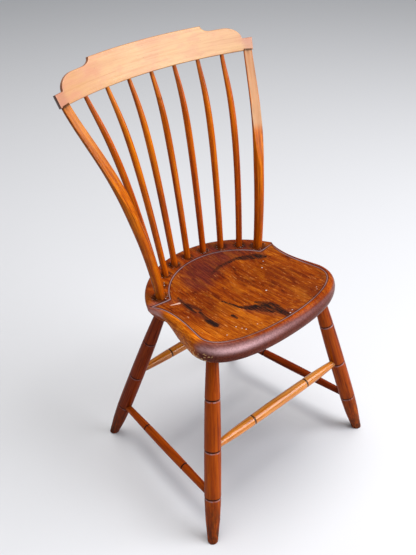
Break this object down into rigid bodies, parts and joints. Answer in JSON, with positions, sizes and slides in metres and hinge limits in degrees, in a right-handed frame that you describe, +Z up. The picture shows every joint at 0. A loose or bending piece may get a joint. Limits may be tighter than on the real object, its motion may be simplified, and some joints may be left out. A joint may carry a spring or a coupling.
{
  "type": "side chair",
  "caption": "Wooden side chair with a saddled plank seat, raked turned legs and stretchers, and a bent spindle back under a stepped crest.",
  "frame": {"origin": "on the floor under the middle of the chair's bounding box", "axes": "+Z up, the chair's front faces -Y, and +X is on the right of someone who looks at its front"},
  "size_m": [0.4884, 0.4369, 0.8817],
  "materials": {
    "seat_wood": "satin varnish, darkened and stained",
    "turned_wood": "satin varnish",
    "bent_wood": "satin varnish",
    "crest_wood": "satin varnish, worn pale",
    "pin_wood": "matte"
  },
  "bodies": {
    "root": {"seat": "seat_wood", "leg_front_left": "turned_wood", "leg_front_right": "turned_wood", "leg_rear_left": "turned_wood", "leg_rear_right": "turned_wood", "stretcher_front": "turned_wood", "stretcher_rear": "turned_wood", "stretcher_left": "turned_wood", "stretcher_right": "turned_wood", "post_left": "bent_wood", "post_right": "bent_wood", "spindle_1": "bent_wood", "spindle_2": "bent_wood", "spindle_3": "bent_wood", "spindle_4": "bent_wood", "spindle_5": "bent_wood", "spindle_6": "bent_wood", "spindle_7": "bent_wood", "crest": "crest_wood", "crest_pin_left": "pin_wood", "crest_pin_right": "pin_wood"}
  },
  "joints": []
}
